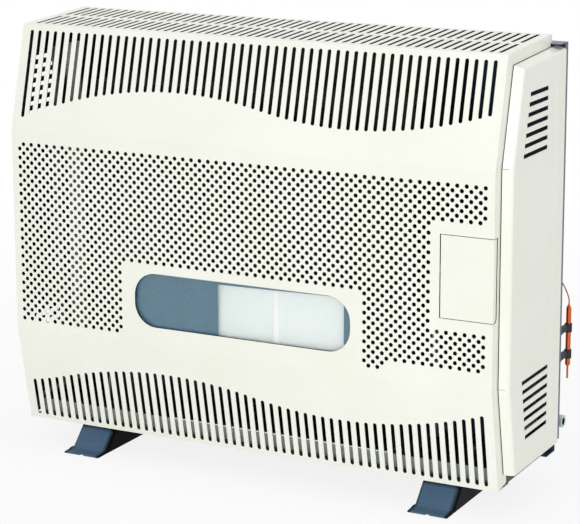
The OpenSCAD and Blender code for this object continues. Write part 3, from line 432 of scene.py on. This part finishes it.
def moulded(name, low, high):
    """Moulded plastic with a fine spark grain."""
    made = Finish(name).fixed(Coat_Weight=0.1, Coat_Roughness=0.25)
    made.colour(made.noise(90, 2), low, high)
    made.rough(made.noise(300, 2), 0.3, 0.43)
    return made.bump(made.noise(2200, 1), 0.01 * MM, 0.6).material


def clear_glass(name, low, high):
    """Heat proof glass, almost colourless, that lets the lamps through."""
    made = Finish(name).fixed(Transmission_Weight=1.0, IOR=1.46)
    tones = made.tones(made.noise(5, 2), low, high)
    made.join(tones, made.shader.inputs["Base Color"])
    made.rough(made.noise(70, 4), 0.0, 0.01)
    through = made.node("ShaderNodeBsdfTransparent")
    made.join(tones, through.inputs[0])
    made.shared(made.node("ShaderNodeLightPath").outputs["Is Shadow Ray"], through)
    return made.material


def milky_glass(name, low, high):
    """The pale sight glass in front of the burner."""
    made = Finish(name).fixed(Transmission_Weight=0.12, IOR=1.48, Coat_Weight=0.4, Coat_Roughness=0.05)
    made.colour(made.noise(11, 2), low, high)
    made.rough(made.noise(60, 3), 0.12, 0.2)
    return made.bump(made.noise(14, 2), 0.02 * MM, 0.3).material


def printed(name, tone):
    """Screen printed ink, slightly uneven."""
    low = tuple(c * 0.93 for c in tone)
    made = Finish(name)
    made.colour(made.noise(30, 3), low, tone)
    made.rough(made.noise(200, 2), 0.42, 0.54)
    return made.bump(made.noise(3000, 1), 0.005 * MM, 0.5).material


def looked_at(tree):
    """1 for what the camera sees, directly, in a reflection or through glass."""
    path = tree.nodes.new("ShaderNodeLightPath")

    def both(how, first, second):
        made = tree.nodes.new("ShaderNodeMath")
        made.operation = how
        tree.links.new(first, made.inputs[0])
        tree.links.new(second, made.inputs[1])
        return made.outputs[0]

    seen = path.outputs["Is Camera Ray"]
    for ray in ("Is Glossy Ray", "Is Transmission Ray"):
        seen = both("MAXIMUM", seen, path.outputs[ray])
    lighting = tree.nodes.new("ShaderNodeMath")
    lighting.operation = "LESS_THAN"
    lighting.inputs[1].default_value = 0.5
    tree.links.new(path.outputs["Diffuse Depth"], lighting.inputs[0])
    return both("MULTIPLY", seen, lighting.outputs[0])


def white_paper(name, share):
    """Studio paper: it keeps the heater's shadow nearby and runs out to plain white."""
    made = Finish(name)
    made.colour(made.noise(3, 2), tint(250, 250, 249), tint(253, 253, 252))
    made.rough(made.noise(40, 2), 0.85, 0.95)
    away = made.node("ShaderNodeVectorMath", operation="LENGTH")
    made.join(made.place, away.inputs[0])
    far = made.spread(away.outputs["Value"], share, 1, *PAPER_FADE)
    white = made.maths("MULTIPLY", far, looked_at(made.tree))
    glow = made.node("ShaderNodeEmission")
    glow.inputs["Strength"].default_value = 1
    made.shared(white, glow)
    return made.bump(made.noise(500, 2), 0.02 * MM, 0.3).material


def paint_nodes(material, *names):
    for name in names:
        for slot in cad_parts[name].material_slots:
            slot.link = "OBJECT"
            slot.material = material


# ---------- modelling by hand ----------


def deselect():
    if bpy.context.object and bpy.context.object.mode != "OBJECT":
        bpy.ops.object.mode_set(mode="OBJECT")
    bpy.ops.object.select_all(action="DESELECT")


def only(piece):
    """Makes the piece the one that is selected and active."""
    deselect()
    piece.select_set(True)
    bpy.context.view_layer.objects.active = piece


def settle(piece, name):
    """Names the new piece and moves its place into its mesh."""
    piece.name = piece.data.name = name
    only(piece)
    bpy.ops.object.transform_apply(location=True, rotation=True, scale=True)
    return piece


def block(name, low, high):
    deselect()
    centre = [(a + b) / 2 for a, b in zip(low, high)]
    bpy.ops.mesh.primitive_cube_add(size=1, location=centre)
    piece = bpy.context.object
    piece.scale = [b - a for a, b in zip(low, high)]
    return settle(piece, name)


def rod(name, centre, radius, length, sides):
    """A round bar along Y."""
    deselect()
    bpy.ops.mesh.primitive_cylinder_add(
        vertices=sides, radius=radius, depth=length, location=centre, rotation=(math.pi / 2, 0, 0))
    return settle(bpy.context.object, name)


def pick(piece, kind, wanted):
    """Selects the piece's vertices, edges or faces that pass a test, in edit mode."""
    if piece.mode != "EDIT":
        only(piece)
        bpy.ops.object.mode_set(mode="EDIT")
    bpy.ops.mesh.select_mode(type=kind)
    bpy.ops.mesh.select_all(action="DESELECT")
    shape = bmesh.from_edit_mesh(piece.data)
    for item in {"VERT": shape.verts, "EDGE": shape.edges, "FACE": shape.faces}[kind]:
        if wanted(item):
            item.select_set(True)
    shape.select_flush_mode()
    bmesh.update_edit_mesh(piece.data)


def middle(edge):
    return (edge.verts[0].co + edge.verts[1].co) / 2


def along(edge, axis):
    span = edge.verts[1].co - edge.verts[0].co
    return abs(span[axis]) > 0.99 * span.length


def sharp(edge):
    return edge.calc_face_angle(0) > 0.6


def soften(piece, width, segments=2, wanted=sharp):
    """Bevels the piece's sharp edges, or those that pass a test."""
    pick(piece, "EDGE", wanted)
    bpy.ops.mesh.bevel(offset=width, segments=segments, affect="EDGES")
    bpy.ops.object.mode_set(mode="OBJECT")


def pierce(piece, wall):
    """Opens a hole through a rod along Y and leaves a wall of the given thickness."""
    pick(piece, "FACE", lambda face: abs(face.normal.y) > 0.9)
    bpy.ops.mesh.inset(thickness=wall, use_individual=True)
    bpy.ops.mesh.bridge_edge_loops()
    bpy.ops.object.mode_set(mode="OBJECT")


def cut_away(piece, tool):
    """Cuts the tool out of the piece and removes it."""
    only(piece)
    modifier = piece.modifiers.new("cut", "BOOLEAN")
    modifier.object = tool
    modifier.solver = "EXACT"
    bpy.ops.object.modifier_apply(modifier=modifier.name)
    bpy.data.objects.remove(tool)


def dress(piece, body, material):
    """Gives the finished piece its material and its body."""
    only(piece)
    bpy.ops.object.shade_smooth_by_angle(angle=math.radians(35))
    piece.data.materials.clear()
    piece.data.materials.append(material)
    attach(piece, body)
    return piece


# ---------- operators ----------


class HEATER_OT_casing_enamel(bpy.types.Operator):
    """Enamels the cover, the flap and the side panels, with painted shade inside the cover and the panels,
    and paints the back plate and the feet, the feet with painted shade and a painted shadow
    """
    bl_idname = "heater.casing_enamel"
    bl_label = "Casing enamel"

    def execute(self, context):
        paint = context.scene.heater_paint
        tones = (paint.enamel, paint.enamel_shade)
        paint_nodes(enamel("cover_enamel", *tones, planes=skin(0, 0, 0), start=COVER_ENAMEL,
                           half_width=COVER[1].x, lining=paint.primer, hidden=skin(*COVER_INSIDE)),
                    "front_cover")
        paint_nodes(enamel("panel_enamel", *tones, planes=skin(*PANEL_INSIDE), start=PANEL_ENAMEL,
                           half_width=PANEL[1].x, lining=paint.primer),
                    "side_panel_left", "side_panel_right")
        paint_nodes(enamel("flap_enamel", *tones), "access_flap")
        paint_nodes(enamel("slate_paint", paint.slate, paint.slate_shade, 0.05), "back_plate")
        paint_nodes(foot_paint("foot_paint", tint(92, 119, 146), tint(82, 108, 134), tint(9, 11, 15)),
                    "foot_left", "foot_right")
        return {"FINISHED"}


class HEATER_OT_sheet_metal(bpy.types.Operator):
    """Gives the tray, the reflector, the brackets, the rails, the spigots and the screws their bare metal,
    with painted shade on the tray behind its front, on the reflector but for its lit strips, and in the gas
    pipe's bore
    """
    bl_idname = "heater.sheet_metal"
    bl_label = "Sheet metal"

    def execute(self, context):
        paint_nodes(galvanised("galvanised_sheet", tint(196, 203, 196), tint(224, 229, 221)),
                    "wall_rail_upper", "wall_rail_lower")
        paint_nodes(dusty("tray_sheet", tint(226, 240, 234), tint(30, 31, 31)), "base_tray")
        paint_nodes(scorched("reflector_sheet", tint(240, 252, 246), tint(24, 24, 25)), "reflector")
        paint_nodes(rolled_steel("bracket_steel", tint(168, 170, 170), tint(196, 198, 198)),
                    "flap_hinge_brackets", "control_bracket", "chamber_bracket_left", "chamber_bracket_right",
                    "window_retainer", "burner_plate", "rail_screws", "foot_screws", "cover_screws")
        paint_nodes(rolled_steel("spigot_steel", tint(186, 189, 191), tint(214, 216, 217), (3, 260, 3)),
                    "flue_spigot", "air_spigot", "manifold_pipe", "burner_tube", "valve_plunger")
        paint_nodes(matt("duct_black", tint(20, 20, 20), tint(30, 30, 30), 0.6), "air_duct")
        paint_nodes(matt("spigot_rubber", tint(52, 30, 28), tint(70, 40, 36), 0.75), "spigot_gasket")
        paint_nodes(pipe_zinc("pipe_zinc", tint(196, 208, 212), tint(24, 38, 46)), "gas_inlet_pipe")
        return {"FINISHED"}


class HEATER_OT_burner_finish(bpy.types.Operator):
    """Finishes the combustion chamber, its fins and what stands round the burner"""
    bl_idname = "heater.burner_finish"
    bl_label = "Chamber and burner"

    def execute(self, context):
        paint_nodes(matt("chamber_enamel", tint(15, 15, 16), tint(24, 24, 24), 0.55, 20),
                    "combustion_chamber", "exchanger_fins")
        paint_nodes(turned_metal("pilot_brass", tint(168, 132, 70), tint(206, 170, 100)),
                    "pilot_burner", "injector_block")
        paint_nodes(turned_metal("probe_copper", tint(150, 92, 62), tint(196, 128, 90), 0.36), "thermocouple")
        paint_nodes(matt("electrode_ceramic", tint(232, 228, 218), tint(246, 243, 236), 0.3),
                    "spark_electrode")
        return {"FINISHED"}


class HEATER_OT_window_finish(bpy.types.Operator):
    """Finishes the window glass and its gasket, the sight glass, its frame and its gasket"""
    bl_idname = "heater.window_finish"
    bl_label = "Window finishes"

    def execute(self, context):
        paint_nodes(clear_glass("window_glass", tint(252, 255, 254), tint(254, 255, 255)), "window_glass")
        paint_nodes(matt("window_rubber", tint(12, 12, 13), tint(20, 20, 21), 0.7), "window_gasket")
        paint_nodes(milky_glass("sight_glass", tint(244, 250, 249), tint(249, 253, 252)), "sight_glass")
        paint_nodes(enamel("sight_frame_white", tint(253, 248, 248), tint(248, 244, 244)), "sight_frame")
        paint_nodes(matt("gasket_fibre", tint(222, 219, 208), tint(240, 238, 230), 0.85, 120), "sight_gasket")
        return {"FINISHED"}


class HEATER_OT_control_finish(bpy.types.Operator):
    """Finishes the valve, the knob, the igniter and the flap's catch"""
    bl_idname = "heater.control_finish"
    bl_label = "Controls"

    def execute(self, context):
        paint_nodes(matt("valve_casting", tint(158, 160, 163), tint(186, 188, 190), 0.45, 90, 900),
                    "gas_valve")
        paint_nodes(moulded("knob_plastic", tint(26, 26, 28), tint(40, 40, 42)),
                    "control_knob", "piezo_igniter")
        paint_nodes(moulded("button_plastic", tint(168, 34, 30), tint(186, 44, 36)), "piezo_button")
        paint_nodes(matt("catch_magnet", tint(60, 58, 56), tint(84, 80, 76), 0.5, 300), "flap_magnet")
        return {"FINISHED"}


class HEATER_OT_thermostat_finish(bpy.types.Operator):
    """Finishes the thermostat bulb, its capillary and its clips"""
    bl_idname = "heater.thermostat_finish"
    bl_label = "Thermostat"

    def execute(self, context):
        paint_nodes(turned_metal("bulb_copper", tint(190, 84, 42), tint(224, 114, 66)), "thermostat_bulb")
        paint_nodes(turned_metal("capillary_copper", tint(150, 88, 60), tint(196, 120, 86), 0.36),
                    "capillary")
        paint_nodes(matt("clip_plastic", tint(6, 7, 14), tint(13, 15, 24), 0.6), "bulb_clips")
        return {"FINISHED"}


class HEATER_OT_window_print(bpy.types.Operator):
    """Models the printed layer behind the glass, with the clear pane left open"""
    bl_idname = "heater.window_print"
    bl_label = "Window print"

    def execute(self, context):
        window, paint = context.scene.heater_window, context.scene.heater_paint
        low, high = GLASS
        gap, glass_corner, upper_end = 0.03 * MM, 6 * MM, 20 * MM
        front = high.y + gap
        layer = block("window_print", (low.x, front, low.z), (high.x, front + window.layer, high.z))
        soften(layer, glass_corner, 6, lambda edge: along(edge, 1))
        pane = block("pane_tool", (window.pane_left, front - MM, low.z - MM),
                     (window.pane_right, front + MM, window.pane_top))
        pick(pane, "VERT", lambda vertex: vertex.co.z > high.z - upper_end and vertex.co.x > 0)
        bpy.ops.transform.translate(value=(0, 0, window.pane_rise))
        soften(pane, window.pane_corner, 5,
               lambda edge: along(edge, 1) and middle(edge).z > low.z and middle(edge).x < 0)
        cut_away(layer, pane)
        dress(layer, "casing", printed("window_ink", paint.print_tone))
        return {"FINISHED"}


class HEATER_OT_dial(bpy.types.Operator):
    """Models the dial plate round the knob, with its marks and numbers, and the knob's pointer"""
    bl_idname = "heater.dial"
    bl_label = "Dial and pointer"

    def execute(self, context):
        dial = context.scene.heater_dial
        x, z = (KNOB[0].x + KNOB[1].x) / 2, (KNOB[0].z + KNOB[1].z) / 2
        hole, mark_start, mark_end, figure_ring = 8 * MM, 20.4 * MM, 22 * MM, 24.1 * MM
        thick = 0.4 * MM
        face = BRACKET[0].y - thick
        plate = rod("dial_plate", (x, face + thick / 2, z), dial.radius, thick, 96)
        pierce(plate, dial.radius - hole)
        soften(plate, 0.1 * MM)
        dress(plate, "casing",
              rolled_steel("dial_steel", tint(206, 208, 208), tint(224, 226, 226), (260, 4, 4)))
        ink = printed("dial_ink", tint(34, 34, 36))
        step = KNOB_TURN / (dial.marks - 1)
        tick = block("dial_mark_0", (x - 0.3 * MM, face - 0.06 * MM, z + mark_start),
                     (x + 0.3 * MM, face + 0.05 * MM, z + mark_end))
        soften(tick, 0.05 * MM)
        dress(tick, "casing", ink)
        for k in range(dial.marks):
            turn = Matrix.Rotation(math.radians(-step * k), 4, "Y")
            there = Matrix.Translation((x, 0, z)) @ turn @ Matrix.Translation((-x, 0, -z))
            if k:
                mark = tick.copy()
                mark.data = tick.data.copy()
                context.collection.objects.link(mark)
                mark.name = mark.data.name = f"dial_mark_{k}"
                mark.data.transform(there)
                dress(mark, "casing", ink)
            deselect()
            spot = there @ Vector((x, face, z + figure_ring))
            bpy.ops.object.text_add(location=spot, rotation=(math.pi / 2, 0, 0))
            figure = context.object
            figure.data.body = str(k)
            figure.data.align_x = figure.data.align_y = "CENTER"
            figure.data.size = dial.figure
            figure.data.extrude = 0.05 * MM
            bpy.ops.object.convert(target="MESH")
            dress(settle(context.object, f"dial_figure_{k}"), "casing", ink)
        grip = KNOB[0].y
        pointer = block("knob_pointer", (x - 0.9 * MM, grip - 0.08 * MM, z + 7 * MM),
                        (x + 0.9 * MM, grip + 0.3 * MM, z + 15 * MM))
        soften(pointer, 0.25 * MM, 3)
        dress(pointer, "knob",
              moulded("pointer_white", tint(236, 236, 232), tint(246, 246, 242)))
        return {"FINISHED"}


class HEATER_OT_grommets(bpy.types.Operator):
    """Models the rubber grommets where the capillary and the gas pipe pass through the back plate"""
    bl_idname = "heater.grommets"
    bl_label = "Grommets"

    def execute(self, context):
        rubber = matt("grommet_rubber", tint(26, 26, 27), tint(40, 40, 41), 0.7)
        plate = BACK[1].y - 0.6 * MM
        lip, thick, half_groove = 1.8 * MM, 4.4 * MM, 0.75 * MM
        for name, (x, z), groove, bore in (
                ("capillary_grommet", CAPILLARY_HOLE, 3.9 * MM, 1.1 * MM),
                ("pipe_grommet", PIPE_HOLE, 9.9 * MM, 6.1 * MM)):
            centre = Vector((x, plate, z))
            ring = rod(name, centre, groove + lip, thick, 48)
            for step in (-0.8, -0.7, 0.7, 0.8):
                pick(ring, "VERT", lambda vertex: True)
                bpy.ops.mesh.bisect(plane_co=centre + Vector((0, step * MM, 0)), plane_no=(0, 1, 0))
            pick(ring, "VERT", lambda vertex: abs(vertex.co.y - plate) < half_groove)
            share = groove / (groove + lip)
            bpy.ops.transform.resize(value=(share, 1, share), center_override=centre)
            bpy.ops.object.mode_set(mode="OBJECT")
            pierce(ring, groove + lip - bore)
            soften(ring, 0.5 * MM, 3,
                   lambda edge: abs(abs(middle(edge).y - plate) - thick / 2) < 1e-5 and sharp(edge))
            dress(ring, "casing", rubber)
        return {"FINISHED"}


class HEATER_OT_capillary_nut(bpy.types.Operator):
    """Models the brass nut that holds the capillary in the valve"""
    bl_idname = "heater.capillary_nut"
    bl_label = "Capillary nut"

    def execute(self, context):
        x, z = CAPILLARY_END
        nut = rod("capillary_nut", (x, VALVE[1].y + 2.6 * MM, z), 4.4 * MM, 5 * MM, 6)
        soften(nut, 0.5 * MM, 2, lambda edge: not along(edge, 1))
        pierce(nut, 2.9 * MM)
        dress(nut, "casing", turned_metal("nut_brass", tint(176, 140, 76), tint(212, 178, 108)))
        return {"FINISHED"}


class HEATER_OT_studio(bpy.types.Operator):
    """Sets up the pale floor, the soft lamps, the white room and the camera"""
    bl_idname = "heater.studio"
    bl_label = "Studio"

    def execute(self, context):
        studio, scene = context.scene.heater_studio, context.scene
        deselect()
        bpy.ops.mesh.primitive_circle_add(vertices=96, radius=FLOOR_RADIUS, fill_type="NGON",
                                          location=(0, 0, -FLOOR_DROP))
        floor = settle(context.object, "floor")
        floor.data.materials.append(white_paper("floor_paper", studio.paper))

        world = bpy.data.worlds.new("white_room")
        scene.world = world
        world.use_nodes = True
        tree = world.node_tree
        tree.nodes.clear()
        seen = looked_at(tree)
        room, white = tree.nodes.new("ShaderNodeBackground"), tree.nodes.new("ShaderNodeBackground")
        room.inputs["Strength"].default_value = studio.sky
        white.inputs["Strength"].default_value = 1
        room.inputs["Color"].default_value = white.inputs["Color"].default_value = (1, 1, 1, 1)
        mix, output = tree.nodes.new("ShaderNodeMixShader"), tree.nodes.new("ShaderNodeOutputWorld")
        tree.links.new(seen, mix.inputs[0])
        tree.links.new(room.outputs[0], mix.inputs[1])
        tree.links.new(white.outputs[0], mix.inputs[2])
        tree.links.new(mix.outputs[0], output.inputs[0])

        for name, spot, width, height, power in (
                ("key_lamp", (1.5, -3.15, 0.8), 2.4, 1.7, studio.key),
                ("top_lamp", (0.2, -0.1, 2.9), 1.8, 1.4, studio.top)):
            deselect()
            bpy.ops.object.light_add(type="AREA", location=spot)
            lamp = context.object
            lamp.name = lamp.data.name = name
            lamp.data.shape = "RECTANGLE"
            lamp.data.size, lamp.data.size_y, lamp.data.energy = width, height, power
            lamp.rotation_euler = (LAMP_TARGET - lamp.location).to_track_quat("-Z", "Y").to_euler()

        deselect()
        bpy.ops.object.camera_add()
        camera = context.object
        camera.name = camera.data.name = "photo_camera"
        turned = Matrix((CAMERA_RIGHT, CAMERA_UP, CAMERA_BACK)).transposed().to_4x4()
        camera.matrix_world = Matrix.Translation(CAMERA_PLACE) @ turned
        camera.data.lens, camera.data.sensor_width, camera.data.sensor_fit = studio.lens, SENSOR, "HORIZONTAL"
        camera.data.shift_y = CAMERA_SHIFT
        camera.data.clip_start, camera.data.clip_end = 0.05, 50
        scene.camera = camera
        scene.view_settings.view_transform = "Standard"
        return {"FINISHED"}


STEPS = (HEATER_OT_casing_enamel, HEATER_OT_sheet_metal, HEATER_OT_burner_finish, HEATER_OT_window_finish,
         HEATER_OT_control_finish, HEATER_OT_thermostat_finish, HEATER_OT_window_print, HEATER_OT_dial,
         HEATER_OT_grommets, HEATER_OT_capillary_nut, HEATER_OT_studio)
GROUPS = {"heater_paint": HeaterPaint, "heater_window": HeaterWindow, "heater_dial": HeaterDial,
          "heater_studio": HeaterStudio}


class HEATER_PT_steps(bpy.types.Panel):
    """Lists the steps and the sizes and colours that they use"""
    bl_label = "Gas heater"
    bl_idname = "HEATER_PT_steps"
    bl_space_type = "VIEW_3D"
    bl_region_type = "UI"
    bl_category = "Heater"

    def draw(self, context):
        for group, kind in GROUPS.items():
            box = self.layout.box()
            for name in kind.__annotations__:
                box.prop(getattr(context.scene, group), name)
        for step in STEPS:
            self.layout.operator(step.bl_idname)


def register():
    for kind in (*GROUPS.values(), *STEPS, HEATER_PT_steps):
        bpy.utils.register_class(kind)
    for name, kind in GROUPS.items():
        setattr(bpy.types.Scene, name, PointerProperty(type=kind))


def unregister():
    for name in GROUPS:
        delattr(bpy.types.Scene, name)
    for kind in (HEATER_PT_steps, *reversed(STEPS), *GROUPS.values()):
        bpy.utils.unregister_class(kind)


def main():
    register()
    bpy.ops.heater.casing_enamel()
    bpy.ops.heater.sheet_metal()
    bpy.ops.heater.burner_finish()
    bpy.ops.heater.window_finish()
    bpy.ops.heater.control_finish()
    bpy.ops.heater.thermostat_finish()
    bpy.ops.heater.window_print()
    bpy.ops.heater.dial()
    bpy.ops.heater.grommets()
    bpy.ops.heater.capillary_nut()
    bpy.ops.heater.studio()


if __name__ == "__main__":
    main()
